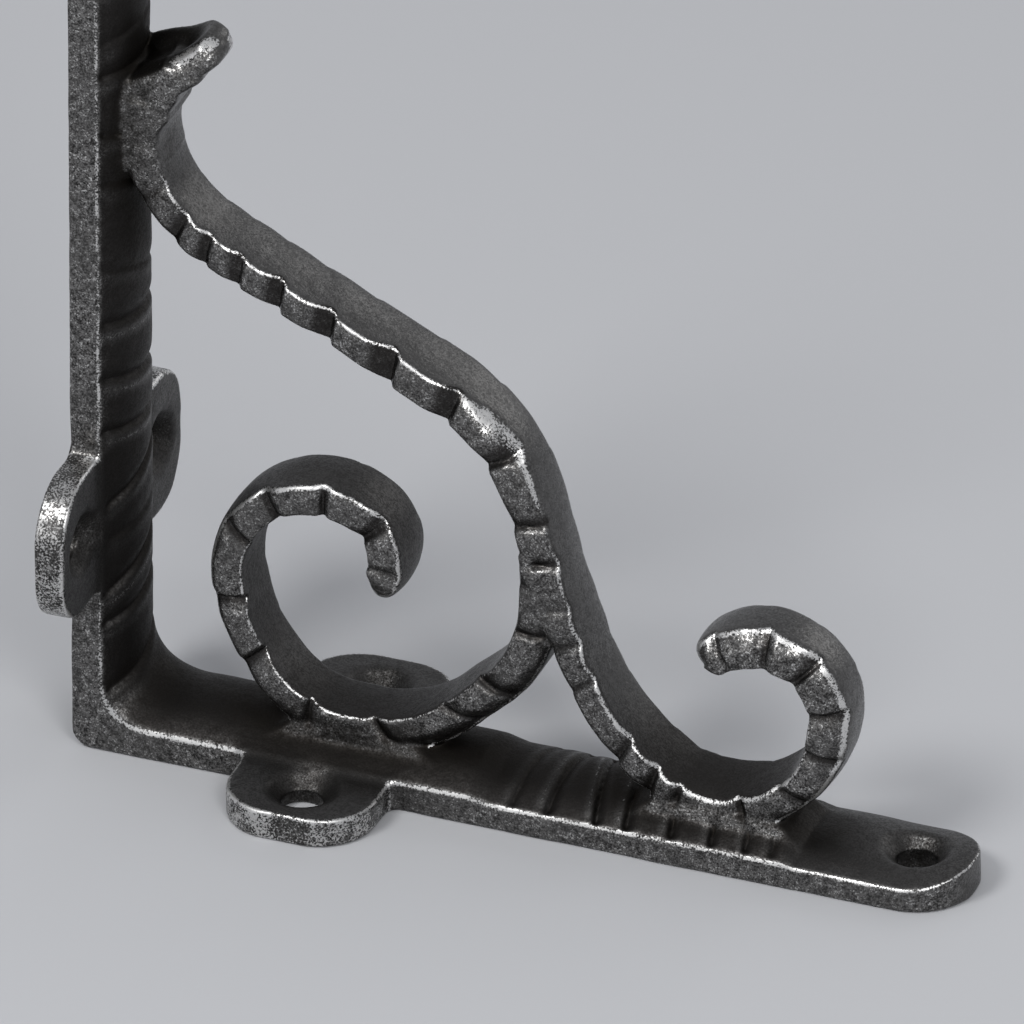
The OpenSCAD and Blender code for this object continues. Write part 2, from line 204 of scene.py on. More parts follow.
def join(where, field, k, name, edges=0):
    """Adds a member to the metal with a fillet of size k, and marks where it is the nearest one."""
    field = field.astype(np.float32)
    metal[where] = soft_min(metal[where], field, k)
    old = nearest[where]
    ridge[where] = np.where(field < old, edges, ridge[where])
    closer = field < old
    tag = label[where]
    tag[closer] = NODES.index(name)
    label[where] = tag
    nearest[where] = np.minimum(old, field)


def marks(s, places):
    """Depth of hammer marks: sharp valleys, steeper on their first side."""
    out = np.zeros(np.broadcast(s, 0.0).shape, np.float32)
    for place, deep, wide in places:
        d = s - place
        u = np.where(d < 0, -d / (wide * 0.5), d / (wide * 1.5))
        out = np.maximum(out, deep * np.clip(1 - u, 0, 1) ** 1.7)
    return out


# Marks across the legs: (place at mid-width, slant, depth, half width)
SHELF_MARKS = [(75.5, 0.1, 0.5, 1.3), (81.0, 0.05, 1.0, 1.5), (87.0, -0.2, 1.1, 1.4),
               (92.8, -0.12, 1.1, 1.4), (100.1, -0.15, 1.0, 1.4), (106.9, -0.15, 0.9, 1.3),
               (112.7, -0.15, 0.8, 1.2), (117.6, -0.1, 0.6, 1.2)]
WALL_MARKS = [(14.5, 0.4, 0.6, 2.0), (25.5, 0.27, 0.8, 2.0), (32.7, 0.43, 1.0, 2.2),
              (40.5, 0.2, 0.4, 2.2), (48.4, 0.4, 0.9, 1.8), (57.5, -0.1, 1.0, 1.8),
              (66.5, -0.19, 1.0, 2.0), (77.5, -0.09, 1.0, 2.2), (86, -0.3, 0.4, 1.8),
              (102.5, -0.2, 0.5, 2.4), (111, -0.25, 0.7, 2.2), (123.9, 0.0, 0.8, 2.0),
              (131, 0.1, 0.4, 2.4)]


# Beside a mark the inner faces lose both their black skin and their painted shade
LIPS = 0.4          # how far the inner faces lose their blackness beside a mark
WALL_WEAR = 0.72    # the wall leg's edges are less rubbed than the shelf leg's
SHARP = 0.28        # half width of a rubbed edge


def leg(s, y, h, profile, places, round_at):
    """Fields of a leg's inner face, sides and marks. It lies along s, and its end is rounded."""
    at = np.array([p[0] for p in profile])
    edge = np.interp(s, at, [p[1] for p in profile]).astype(np.float32)
    rise = np.interp(s, at, [p[2] for p in profile]).astype(np.float32)
    big = (HALF_W ** 2 + rise ** 2) / (2 * rise)
    top = np.sqrt(y ** 2 + (h - (edge + rise - big)) ** 2) - big
    lips = 0
    fade = ramp(-np.abs(y), -HALF_W, -8.5)
    for place, slant, deep, wide in places:
        u = s - slant * y - place
        top = top + marks(u, [(0, deep, wide)]) * fade
        lips = lips + deep * np.exp(-((u + 0.9 * wide) / (0.45 * wide)) ** 2)
    lips = np.clip(LIPS * lips, 0, LIPS) * ramp(top, -0.9, -0.4) * fade
    beyond = np.maximum(s - (round_at - HALF_W), 0)
    side = np.sqrt(beyond ** 2 + y ** 2) - HALF_W
    return top, side, lips


def flat_backed(top, side, back):
    """A leg's body, from the fields of its inner face, its sides and its back."""
    return soft_max(soft_max(top, side, LEG_SOFT), back, BACK_SOFT)


shelf_profile = [(PAD_END - 2, EDGE, CROWN), (PAD_END + 1.5, HAM_EDGE, HAM_CROWN),
                 (SHELF_TAB - 1.2, HAM_EDGE, HAM_CROWN), (SHELF_TAB + 1.2, TAB_EDGE, TAB_CROWN)]
wall_profile = [(WALL_TAB - 1.2, EDGE, CROWN), (WALL_TAB + 1.2, TAB_EDGE, TAB_CROWN)]

where, x, y, z = window((-2, -12, -2), (SHELF_LEN + 2, 12, 20))
top, side, lips = leg(x, y, z, shelf_profile, SHELF_MARKS, SHELF_LEN)
shelf = np.maximum(flat_backed(top, side, -z), -x)
join(where, shelf, 0.01, "shelf_leg", np.maximum(lips, ridge_of(top, side, SHARP)))
where, x, y, z = window((-2, -12, -2), (20, 12, WALL_LEN + 2))
top, side, lips = leg(z, y, x, wall_profile, WALL_MARKS, WALL_LEN)
wall = np.maximum(flat_backed(top, side, -x), -z)
join(where, wall, 0.01, "wall_leg", np.maximum(lips, WALL_WEAR * ridge_of(top, side, SHARP)))

# The inner faces of the legs meet in a fillet, smaller at the near edge than at the far one
where, x, y, z = window((-2, -12, -2), (20, 12, 20))
top_a, side, lips_a = leg(x, y, z, shelf_profile, SHELF_MARKS, SHELF_LEN)
top_b, _, lips_b = leg(z, y, x, wall_profile, WALL_MARKS, WALL_LEN)
across = ramp(y, -8.0, 9.0)
top = soft_min(top_a, top_b, BEND_FILLET_NEAR + (BEND_FILLET_FAR - BEND_FILLET_NEAR) * across)
bend = soft_max(flat_backed(top, side, -x), -z, BACK_SOFT)
metal[where] = np.minimum(metal[where], bend)
nearest[where] = np.minimum(nearest[where], bend)
strong = WALL_WEAR + (1 - WALL_WEAR) * ramp(x - z, -6, 0)
ridge[where] = np.maximum(np.maximum(lips_a, lips_b), strong * ridge_of(top, side, 0.34))
where, x, y, z = window((-2, -12, -2), (BEND, 12, BEND))
label[where] = np.where((x < BEND) & (z < BEND), NODES.index("corner_bend"), label[where])


def ear(s, y, h):
    """Field of a screw ear on the +y side of a leg along s."""
    a = np.abs(s - EAR_AT) - EAR_HALF + EAR_ROUND
    b = (y - HALF_W) - EAR_REACH + EAR_ROUND
    plan = np.sqrt(np.maximum(a, 0) ** 2 + np.maximum(b, 0) ** 2)
    plan = plan + np.minimum(np.maximum(a, b), 0) - EAR_ROUND
    plan = np.maximum(plan, HALF_W - 5 - y)
    plate = soft_max(plan, h - EDGE, EAR_SOFT)
    worn = np.maximum(ridge_of(plan, h - EDGE, 0.42), 0.46 * ramp(plan, -1.1, -0.5))
    return soft_max(plate, -h, BACK_SOFT), worn


for side, names in ((-1, ("shelf_ear_near", "wall_ear_near")), (1, ("shelf_ear_far", "wall_ear_far"))):
    near, far = sorted((side * 4.0, side * 27.0))
    where, x, y, z = window((26, near, -2), (58, far, 12))
    field, edges = ear(x, side * y, z)
    join(where, field, EAR_FILLET, names[0], edges)
    where, x, y, z = window((-2, near, 26), (12, far, 58))
    field, edges = ear(z, side * y, x)
    join(where, field, EAR_FILLET, names[1], edges)


def columns(start, steps, reach, run_in=2.0, run_out=4.0):
    """Grid columns near a path, with the length along it and the distance to its left."""
    X, Z = np.meshgrid(gx_, gz_, indexing="ij")
    best = np.full(X.shape, 1e9)
    S = np.zeros(X.shape)
    T = np.zeros(X.shape)

    def line(p, length, first, last):
        a = math.radians(p[2])
        u = (X - p[0]) * math.cos(a) + (Z - p[1]) * math.sin(a)
        t = -(X - p[0]) * math.sin(a) + (Z - p[1]) * math.cos(a)
        d = np.hypot(u - np.clip(u, 0, length), t)
        return d, np.clip(u, -99 if first else 0, 99 if last else length), t

    p = step_on(start, (0, -run_in))
    s0 = -run_in
    steps = [(0, run_in)] + list(steps) + [(0, run_out)]
    for n, step in enumerate(steps):
        length = step_length(step)
        if step[0] == 0:
            d, s, t = line(p, length, n == 0, n == len(steps) - 1)
        else:
            a = math.radians(p[2])
            sign = math.copysign(1, step[1])
            cx = p[0] - sign * step[0] * math.sin(a)
            cz = p[1] + sign * step[0] * math.cos(a)
            half = abs(math.radians(step[1])) / 2
            mid = a + sign * (half - math.pi / 2)
            turn = sign * ((np.arctan2(Z - cz, X - cx) - mid + math.pi) % (2 * math.pi) - math.pi)
            t = sign * (step[0] - np.hypot(X - cx, Z - cz))
            inside = np.abs(turn) <= half
            d = np.where(inside, np.abs(t), 1e9)
            s = np.where(inside, (turn + half) * step[0], 0)
        better = d < best
        best = np.where(better, d, best)
        S = np.where(better, s + s0, S)
        T = np.where(better, t, T)
        s0 += length
        p = step_on(p, step)
    i, k = np.nonzero(best < reach)
    return i, k, S[i, k].astype(np.float32), T[i, k].astype(np.float32)


def join_columns(i, k, ys, field, fillet, name, dent=0, edges=0):
    """Adds a bar to the metal, as join does, and keeps the depth of its dents."""
    where = (i[:, None], np.arange(ys.start, ys.stop)[None, :], k[:, None])
    field = field.astype(np.float32)
    recess[where] = np.where(field < nearest[where], dent, recess[where])
    ridge[where] = np.where(field < nearest[where], edges, ridge[where])
    metal[where] = soft_min(metal[where], field, fillet)
    old = nearest[where]
    tag = label[where]
    tag[field < old] = NODES.index(name)
    label[where] = tag
    nearest[where] = np.minimum(old, field)


def wave(s, seed, pitch):
    """A slow random change along a bar, between -1 and 1."""
    r = np.random.default_rng(seed)
    knots = r.uniform(-1, 1, 80)
    u = s / pitch + 5
    i = np.floor(u).astype(int)
    f = u - i
    f = f * f * (3 - 2 * f)
    return knots[i] * (1 - f) + knots[i + 1] * f


def facets(total, places, seed):
    """A hammered face along a bar: how far it lies back at each place, and the slant of its marks."""
    r = np.random.default_rng(seed)
    s = np.arange(-8, total + 8, 0.1)
    out = np.zeros(len(s))
    ends = [-8.0] + [p[0] for p in places] + [total + 8.0]
    for a, b in zip(ends[:-1], ends[1:]):
        mid, half = (a + b) / 2, (b - a) / 2
        here = (s >= a) & (s < b)
        u = (s[here] - mid) / half
        out[here] = 0.12 * r.uniform(-1, 1) - 0.20 * (1 - u * u) + 0.22 * r.uniform(-1, 1) * u
    box = np.ones(7) / 7
    out = np.convolve(np.pad(out, 3, mode="edge"), box, mode="valid")
    for place, deep, before, after, _ in places:
        d = s - place
        u = np.where(d < 0, -d / before, d / after)
        out = out + deep * np.clip(1 - u, 0, 1) ** np.where(d < 0, 1.25, 1.6)
    return s, out, np.interp(s, [p[0] for p in places], [p[4] for p in places])


def bar(s, t, y, total, sections, near_marks, far_marks, ridges, seed):
    """Field of a bar with crowned faces. Its near side is hammered, and its far edges are soft."""
    s = s[:, None]
    t = t[:, None]
    y = y[None, :]
    at = [q[0] for q in sections]
    half_w, left, right, crown_l, crown_r, back_l, back_r, tilt_l, soft_l, soft_r = (
        np.interp(s, at, [q[n] for q in sections]).astype(np.float32) for n in range(1, 11))
    # The end is rounded, and the width and the two faces waver
    end = np.maximum(s - (total - BAR_HALF_T), 0)
    t = np.where(t < 0, -1, 1) * np.sqrt(t ** 2 + end ** 2)
    half_w = half_w - 0.35 * end + 0.10 * wave(s, seed, 9.0)
    across = np.clip(y / half_w, -1, 1)
    upper = t - left - crown_l * (1 - across ** 2) - tilt_l * across + 0.08 * wave(s, seed + 1, 5.0)
    lower = -t - right - crown_r * (1 - across ** 2) + 0.08 * wave(s, seed + 2, 5.0)
    # The near side's facets are sharp at the right edge and run together at the left one
    u = np.clip(t / BAR_HALF_T, -1, 1)
    lay, back, slant = facets(total, near_marks, seed + 3)
    smooth = np.convolve(np.pad(back, 9, mode="edge"), np.ones(19) / 19, mode="valid")
    off = s + np.interp(s, lay, slant) * t
    dent = np.interp(off, lay, back)
    dent = dent + np.maximum(u, 0) ** 2 * (np.interp(off, lay, smooth) - dent)
    near = -y - half_w + back_l * np.maximum(u, 0) ** 1.5 + back_r * np.maximum(-u, 0) ** 1.5 \
        + dent + 0.15 * u ** 2 + 0.22 * wave(s, seed + 5, 7.0) * u
    lay, back, slant = facets(total, far_marks, seed + 4)
    far = y - half_w + 0.3 * np.interp(s + np.interp(s, lay, slant) * t, lay, back) + 0.3 * u ** 2
    body = soft_max(soft_max(near, upper, soft_l), lower, soft_r)
    at = [q[0] for q in ridges]
    strength, wide = (np.interp(s, at, [q[n] for q in ridges]) for n in (1, 2))
    outer = ridge_of(near, lower, 0.25 + 0.45 * back_r)
    edges = strength * np.maximum(ridge_of(near, upper, wide), outer)
    return soft_max(body, far, 1.4), np.broadcast_to(dent, body.shape), edges


# Marks along the bars, near side: (place, depth, width before, width after, slant)
BRACE_MARKS = [(6.5, 0.4, 2.0, 1.5, 0.2), (15.5, 0.5, 2.6, 1.4, 0.2), (23.0, 0.6, 2.8, 1.0, 0.3),
               (28.5, 1.0, 3.0, 0.8, 0.3), (34.8, 1.1, 3.4, 0.8, 0.3), (42.3, 1.4, 4.2, 0.9, 0.3),
               (51.6, 1.5, 5.0, 1.0, 0.3), (63.3, 1.5, 5.6, 1.0, 0.3), (74.6, 1.5, 5.6, 1.0, 0.2),
               (86.2, 1.3, 5.0, 1.1, -0.1), (98.2, 1.1, 4.6, 1.0, -0.1), (105.2, 1.1, 3.8, 1.0, -0.2),
               (113.5, 0.5, 3.0, 1.4, -0.1), (120.1, 0.7, 3.0, 1.2, 0.1), (127.1, 0.8, 3.0, 1.2, 0.2),
               (139.7, 1.0, 3.6, 1.0, 0.3), (146.4, 1.0, 3.0, 1.0, 0.3), (150.9, 0.8, 2.0, 0.9, 0.1),
               (162.1, 1.2, 2.0, 0.9, 0.0), (171.6, 0.8, 3.4, 1.8, 0.4), (181.1, 0.9, 2.8, 0.9, 0.0),
               (188.9, 1.0, 2.6, 0.8, 0.0), (196.4, 1.1, 0.8, 4.4, 0.0), (203.5, 1.0, 1.3, 2.0, 0.0),
               (211.4, 0.8, 1.1, 1.8, 0.0)]
SCROLL_MARKS = [(4.5, 0.6, 3.0, 1.2, 0.0), (13.8, 1.2, 4.2, 1.0, 0.1), (27.2, 1.1, 3.8, 1.0, 0.3),
                (35.3, 1.0, 3.2, 1.2, 0.5), (49.9, 0.9, 2.2, 1.8, 0.6), (63.0, 1.0, 3.4, 1.2, 0.4),
                (76.3, 1.1, 3.4, 1.0, 0.2), (87.4, 1.2, 3.4, 0.8, 0.0), (100.0, 1.1, 2.4, 1.6, -0.3),
                (108.5, 1.1, 2.2, 2.0, -0.1), (117.8, 1.2, 1.2, 1.5, 0.0), (127.3, 1.1, 3.4, 1.8, 0.1),
                (134.5, 0.6, 1.6, 1.4, 0.0)]
BRACE_FAR = [(p + 3.1, d, b, a, -0.1) for p, d, b, a, _ in BRACE_MARKS]
SCROLL_FAR = [(p + 2.7, d, b, a, 0.1) for p, d, b, a, _ in SCROLL_MARKS]

# Sections along the bars: (place, half width, reach left, reach right, crown left, crown right,
# near side's set-back at the left and at the right, tilt of the left face, softness of the near
# edge at the left and at the right)
BRACE_SHAPE = [(0, 6.1, 2.75, 2.75, 0.5, 0.3, 0.2, 0.1, 0.0, 0.9, 1.0),
               (30, 6.1, 2.75, 2.75, 0.7, 0.3, 0.2, 0.1, 0.0, 0.9, 1.0),
               (72, 6.1, 2.75, 2.75, 0.8, 0.3, 0.2, 0.1, 0.0, 0.9, 1.0),
               (80, 6.0, 2.75, 2.75, 0.8, 0.3, 1.8, 0.1, 0.0, 2.6, 1.0),
               (90, 5.9, 2.75, 2.75, 0.8, 0.3, 1.1, 0.1, 0.0, 1.8, 1.0),
               (98, 5.9, 2.75, 2.75, 0.8, 0.3, 0.4, 0.1, 0.0, 1.4, 1.0),
               (110, 5.8, 2.75, 2.75, 0.7, 0.3, 0.2, 0.1, 0.0, 1.0, 1.0),
               (140, 5.6, 2.75, 2.75, 0.6, 0.3, 0.1, 0.1, 0.6, 0.8, 1.0),
               (157, 5.6, 2.75, 2.75, 0.6, 0.3, 0.1, 0.2, 1.2, 0.9, 1.0),
               (168, 5.6, 2.75, 2.9, 0.4, 0.4, 0.1, 0.5, 0.6, 0.8, 1.2),
               (182, 5.6, 2.8, 3.1, 0.2, 0.6, 0.0, 1.3, 0.0, 0.6, 1.4),
               (206, 5.6, 2.8, 3.1, 0.2, 0.7, 0.0, 1.3, 0.0, 0.6, 1.4),
               (216, 5.6, 2.75, 3.0, 0.2, 0.6, 0.1, 1.2, 0.0, 0.8, 1.4)]
SCROLL_SHAPE = [(0, 5.8, 2.75, 2.75, 0.2, 0.4, 0.6, 0.1, 0.0, 1.6, 0.8),
                (14, 5.8, 3.2, 2.9, 0.2, 0.6, 1.6, 0.1, 0.0, 1.4, 0.8),
                (34, 5.8, 3.4, 2.9, 0.2, 0.7, 2.2, 0.1, 0.0, 1.4, 0.7),
                (54, 5.8, 2.9, 2.75, 0.2, 0.7, 1.0, 0.1, 0.0, 1.4, 0.7),
                (76, 5.8, 2.75, 2.75, 0.3, 0.5, 0.6, 0.1, 0.0, 1.6, 0.7),
                (92, 5.8, 2.75, 2.75, 0.5, 0.4, 0.7, 0.1, 0.0, 1.6, 0.7),
                (106, 5.8, 2.75, 2.75, 0.7, 0.3, 0.2, 0.1, 0.0, 0.8, 0.8),
                (140, 5.8, 2.75, 2.75, 0.7, 0.2, 0.2, 0.1, 0.0, 0.7, 0.8)]

# Rubbed ridges along the bars, by place: strength and half width
BRACE_RIDGE = [(10, 0.2, 0.5), (17, 1, 0.36), (74, 1, 0.38), (80, 0.72, 2.2), (86, 0.7, 1.7),
               (88, 0.85, 0.8), (92, 0.8, 0.6), (97, 0.4, 0.5), (108, 0.7, 0.5), (150, 1, 0.5),
               (170, 0.85, 0.6), (177, 0.9, 0.45), (200, 0.85, 0.4), (216, 0.8, 0.4)]
SCROLL_RIDGE = [(0, 0.6, 0.5), (40, 0.75, 0.5), (60, 1, 0.42), (90, 1, 0.38), (110, 0.95, 0.6),
                (140, 0.8, 0.6)]
COLUMN_REACH = 6.5

ys = slice(np.searchsorted(gy_, -9.0), np.searchsorted(gy_, 9.0))
y_bar = gy_[ys].astype(np.float32)
i, k, s, t = columns(brace_start, BRACE, COLUMN_REACH)
brace_side = np.full((len(gx_), len(gz_)), FAR)
brace_side[i, k] = np.maximum(np.abs(t) - BAR_HALF_T, -s)
brace_field, dent, edges = bar(s, t, y_bar, path_length(BRACE), BRACE_SHAPE, BRACE_MARKS, BRACE_FAR,
                               BRACE_RIDGE, 3)
brace_field = np.maximum(brace_field, (gz_[k] - brace_start[1] - 0.5)[:, None])
# The near side is darker from below the spur to the crest; this is added to the dents' depth, which
# sets their painted shade
black_stretch = 0.3 * (ramp(s, 12, 20) - ramp(s, 70, 80))
dent = dent + black_stretch[:, None]
join_columns(i, k, ys, brace_field, BAR_FILLET, "brace_scroll", dent, edges)
i, k, s, t = columns(scroll_start, SCROLL, COLUMN_REACH)
# The inner scroll ends on the brace's underside
past_fork = (fork_face[0] - gx_[i]) * sin_f - (fork_face[1] - gz_[k]) * cos_f - 1.0
beside = np.where(gz_[k] > FORK_Z - 24, past_fork, -FAR)
scroll_field, dent, edges = bar(s, t, y_bar, path_length(SCROLL), SCROLL_SHAPE, SCROLL_MARKS,
                                SCROLL_FAR, SCROLL_RIDGE, 20)
scroll_field = np.maximum(scroll_field, np.maximum(beside, -s - 0.5)[:, None])
join_columns(i, k, ys, scroll_field, BAR_FILLET, "inner_scroll", dent, edges)


# The spur narrows and thins to a rounded tip. Its near side is round, its top is dished, and its
# far edge stands higher.
def spur_field(s, t, y):
    total = path_length(SPUR)
    s = s[:, None]
    y = y[None, :]
    w = np.clip(s / total, 0, 1)
    half_t = BAR_HALF_T * (1 - 0.12 * w)
    half_w = BAR_HALF_W * (1 - 0.36 * w ** 2)
    end = np.maximum(s - (total - BAR_HALF_T), 0)
    t = np.where(t < 0, -1, 1)[:, None] * np.sqrt(t[:, None] ** 2 + end ** 2)
    half_w = half_w - 0.5 * end
    lift = 3.8 * (1 - w) * np.sin(np.minimum(2 * math.pi * w, math.pi / 2))
    across = np.clip((y + half_w) / (2 * half_w), 0, 1)
    dish = 1.9 * np.sin(math.pi * np.clip(w * 1.1, 0, 1)) * np.exp(-((y - 0.6) / 2.4) ** 2)
    top = t - half_t - lift * across ** 1.3 - 0.5 * (1 - across) + dish
    near = -y - half_w + marks(s - 0.25 * t, [(1.6, 1.2, 1.5)])
    body = soft_max(top, near, 4.2)
    body = soft_max(body, y - half_w, 1.2)
    body = soft_max(body, -t - half_t, 2.2)
    return np.maximum(body, -s - 0.5), 0.8 * ramp(s, 3, 7) * np.exp(-((top - near) / 2.0) ** 2)


i, k, s, t = columns(spur_start, SPUR, 9.0)
field, edges = spur_field(s, t, y_bar)
join_columns(i, k, ys, field, BAR_FILLET, "spur", 0, edges)

# A round web fills the corner between the brace and the underside of the spur
WEB_R, WEB_X, WEB_Z, WEB_REACH, WEB_HALF_W = 8.0, brace_start[0] + 4.0, 117.0, 9.0, 5.9
spur_side = np.full((len(gx_), len(gz_)), FAR)
spur_side[i, k] = np.maximum(np.abs(t) - BAR_HALF_T, -s)
corner_a, corner_b = brace_side + 0.15, spur_side + 0.15
web = np.maximum(WEB_R, np.minimum(corner_a, corner_b)) \
    - np.hypot(np.maximum(WEB_R - corner_a, 0), np.maximum(WEB_R - corner_b, 0))
web = np.maximum(web, np.hypot(gx_[:, None] - WEB_X, gz_[None, :] - WEB_Z) - WEB_REACH)
i, k = np.nonzero(web < 3)
web = soft_max(web[i, k][:, None], np.abs(y_bar)[None, :] - WEB_HALF_W, 1.6)
join_columns(i, k, ys, web, WEB_FILLET, "spur")


# The feet: low wedges of metal under the scrolls
def foot(x, y, z, middle, half, top):
    body = soft_max(z - top, (np.abs(x - middle) - half - top + z) * 0.7071, 1.0)
    return soft_max(body, np.abs(y) - FOOT_HALF_W, 1.2)


where, x, y, z = window((26, -9, 2), (66, 9, 14))
field = foot(x, y, z, SCROLL_FOOT_AT, SCROLL_FOOT_HALF, ROOT_SEAT + FOOT_RISE)
join(where, field, BAR_FILLET, "scroll_foot")
where, x, y, z = window((90, -9, 2), (126, 9, 12))
field = foot(x, y, z, CURL_FOOT_AT, CURL_FOOT_HALF, CURL_SEAT + FOOT_RISE)
join(where, field, BAR_FILLET, "curl_foot")


# Slow random changes of the whole surface
def spline_weights(grid, cell):
    """Weights of a cubic spline's knots at the grid's places."""
    u = (grid - grid[0]) / cell + 1
    base = np.floor(u).astype(int)
    f = (u - base)[:, None]
    w = np.concatenate([(1 - f) ** 3, 3 * f ** 3 - 6 * f ** 2 + 4, -3 * f ** 3 + 3 * f ** 2 + 3 * f + 1,
                        f ** 3], 1) / 6
    out = np.zeros((len(grid), base.max() + 4), np.float32)
    rows = np.arange(len(grid))
    for j in range(4):
        out[rows, base + j] += w[:, j]
    return out


def lumps(cell, seed):
    """A smooth random field with one knot in each cell."""
    r = np.random.default_rng(seed)
    wx, wy, wz = (spline_weights(g, cell) for g in (gx_, gy_, gz_))
    knots = r.normal(0, 1, (wx.shape[1], wy.shape[1], wz.shape[1])).astype(np.float32)
    a = np.tensordot(wx, knots, (1, 0))
    b = np.tensordot(a, wy, (1, 1))
    return np.tensordot(b, wz, (1, 1))


for height, cell, seed in ((0.22, 6.5, 1), (0.10, 2.6, 2)):
    metal += height * lumps(cell, seed)


# Countersunk holes through the ears and the ends of the legs
def drill(where, axial, radial, face):
    bore = radial - HOLE_R
    cone = (bore - (axial - (face - SINK_DEEP)) * (SINK_R - HOLE_R) / SINK_DEEP) * 0.7071
    hole = np.minimum(bore, cone).astype(np.float32)
    metal[where] = soft_max(metal[where], -hole, HOLE_SOFT)


for side in (-1, 1):
    c = side * (HALF_W + EAR_HOLE)
    where, x, y, z = window((EAR_AT - 9, c - 9, -2.4), (EAR_AT + 9, c + 9, 9))
    drill(where, z, np.hypot(x - EAR_AT, y - c), EDGE)
    where, x, y, z = window((-2.4, c - 9, EAR_AT - 9), (9, c + 9, EAR_AT + 9))
    drill(where, x, np.hypot(z - EAR_AT, y - c), EDGE)
end = SHELF_LEN - HALF_W
where, x, y, z = window((end - 9, -9, -2.4), (end + 9, 9, 10))
drill(where, z, np.hypot(x - end, y), TAB_EDGE + TAB_CROWN)
end = WALL_LEN - HALF_W
where, x, y, z = window((-2.4, -9, end - 9), (10, 9, end + 9))
drill(where, x, np.hypot(z - end, y), TAB_EDGE + TAB_CROWN)

# The backs are flat, the heel is rounded, and nothing stands out of the frame's box
CLEAR = 0.03
X, Z = np.meshgrid(gx_, gz_, indexing="ij")
a, b = HEEL_R - X, HEEL_R - Z
heel = np.where((a > 0) & (b > 0), np.hypot(a, b), np.maximum(a, b)) - HEEL_R
high = np.array(cad_high) / MM - HEEL
flat = np.maximum(np.maximum(X - high[0], Z - high[2]), heel) + CLEAR
metal = soft_max(metal, flat[:, None, :].astype(np.float32), BACK_SOFT)
metal = np.maximum(metal, (np.abs(gy_) - high[1] + CLEAR)[None, :, None].astype(np.float32))


# From the field to a surface: one point for each cell that the surface crosses
def surface(F):
    S = F < 0
    n = [v - 1 for v in F.shape]
    count = np.zeros(n, np.uint8)
    for c in np.ndindex(2, 2, 2):
        count += S[c[0]:c[0] + n[0], c[1]:c[1] + n[1], c[2]:c[2] + n[2]]
    active = (count > 0) & (count < 8)
    i, j, k = np.nonzero(active)
    number = np.full(n, -1, np.int32)
    number[i, j, k] = np.arange(len(i))
    corner = {c: F[i + c[0], j + c[1], k + c[2]] for c in np.ndindex(2, 2, 2)}
    total = np.zeros((len(i), 3))
    crossings = np.zeros(len(i))
    for c, fc in corner.items():
        for axis in range(3):
            if c[axis]:
                continue
            d = list(c)
            d[axis] = 1
            fd = corner[tuple(d)]
            hit = (fc < 0) != (fd < 0)
            w = np.where(hit, fc / np.where(hit, fc - fd, 1), 0)
            p = np.tile(np.array(c, float), (len(i), 1))
            p[:, axis] += w
            total += p * hit[:, None]
            crossings += hit
    points = np.stack([i, j, k], 1) + total / crossings[:, None]
    quads = []
    for axis in range(3):
        lo = [slice(1, -1)] * 3
        hi = [slice(1, -1)] * 3
        lo[axis] = slice(0, -1)
        hi[axis] = slice(1, None)
        here, there = S[tuple(lo)], S[tuple(hi)]
        q = np.stack(np.nonzero(here != there), 1)
        inside = here[q[:, 0], q[:, 1], q[:, 2]]
        q = q + 1
        q[:, axis] -= 1
        u, v = [a for a in range(3) if a != axis]
        ring = []
        for du, dv in ((1, 1), (0, 1), (0, 0), (1, 0)):
            r = q.copy()
            r[:, u] -= du
            r[:, v] -= dv
            ring.append(number[r[:, 0], r[:, 1], r[:, 2]])
        ring = np.stack(ring, 1)
        flip = inside if axis != 1 else ~inside
        ring[~flip] = ring[~flip][:, ::-1]
        quads.append(ring)
    return points, np.concatenate(quads)


def sample(F, p):
    """Values of a grid at places given in cells, between the grid's points."""
    p = np.clip(p, 0, np.array(F.shape) - 1.001)
    i = p.astype(int)
    f = p - i
    out = 0
    for c in np.ndindex(2, 2, 2):
        w = np.prod([f[:, a] if c[a] else 1 - f[:, a] for a in range(3)], 0)
        out = out + w * F[i[:, 0] + c[0], i[:, 1] + c[1], i[:, 2] + c[2]]
    return out


def slope_of(F, p, d=0.5):
    """Slope of a grid's values along x, y and z, per millimetre."""
    g = []
    for a in range(3):
        e = np.zeros(3)
        e[a] = d
        g.append((sample(F, p + e) - sample(F, p - e)) / (2 * d * STEP))
    return np.stack(g, 1)


# The points move onto the field's zero
points, quads = surface(metal)
for _ in range(2):
    g = slope_of(metal, points)
    size = np.maximum((g ** 2).sum(1), 0.2)
    move = (-sample(metal, points) / size)[:, None] * g / STEP
    points += np.clip(move, -0.6, 0.6)
normals = slope_of(metal, points)
normals /= np.linalg.norm(normals, axis=1)[:, None]


def blurred(F, radius):
    """Box blur along the three axes, twice."""
    n = max(1, int(round(radius / STEP)))
    for _ in range(2):
        for axis in range(3):
            pad = [(0, 0)] * 3
            pad[axis] = (n + 1, n)
            c = np.cumsum(np.pad(F, pad, mode="edge"), axis=axis, dtype=np.float32)
            up = [slice(None)] * 3
            down = [slice(None)] * 3
            up[axis] = slice(2 * n + 1, None)
            down[axis] = slice(0, -2 * n - 1)
            F = (c[tuple(up)] - c[tuple(down)]) / (2 * n + 1)
    return F


# What the iron is coloured by: sharp edges, hollows, and how much metal is round a place, which gives
# painted shade
clipped = np.clip(metal, -2.5, 2.5)
edge_look = sample(blurred(clipped, 0.6), points)
hollow_look = sample(blurred(clipped, 2.4), points)
# Painted shade: a place with much metal in front of it is darkened as if shadowed
occlusion_shade_look = sample(blurred((metal < 0).astype(np.float32), 6.0), points + normals * 5.0 / STEP)

tag = label[tuple(np.clip(np.round(points).astype(int), 0, np.array(shape) - 1).T)]
face_tag = np.sort(tag[quads], axis=1)[:, 1]


# Small islands go to the piece round them
SMALL_ISLAND = 60


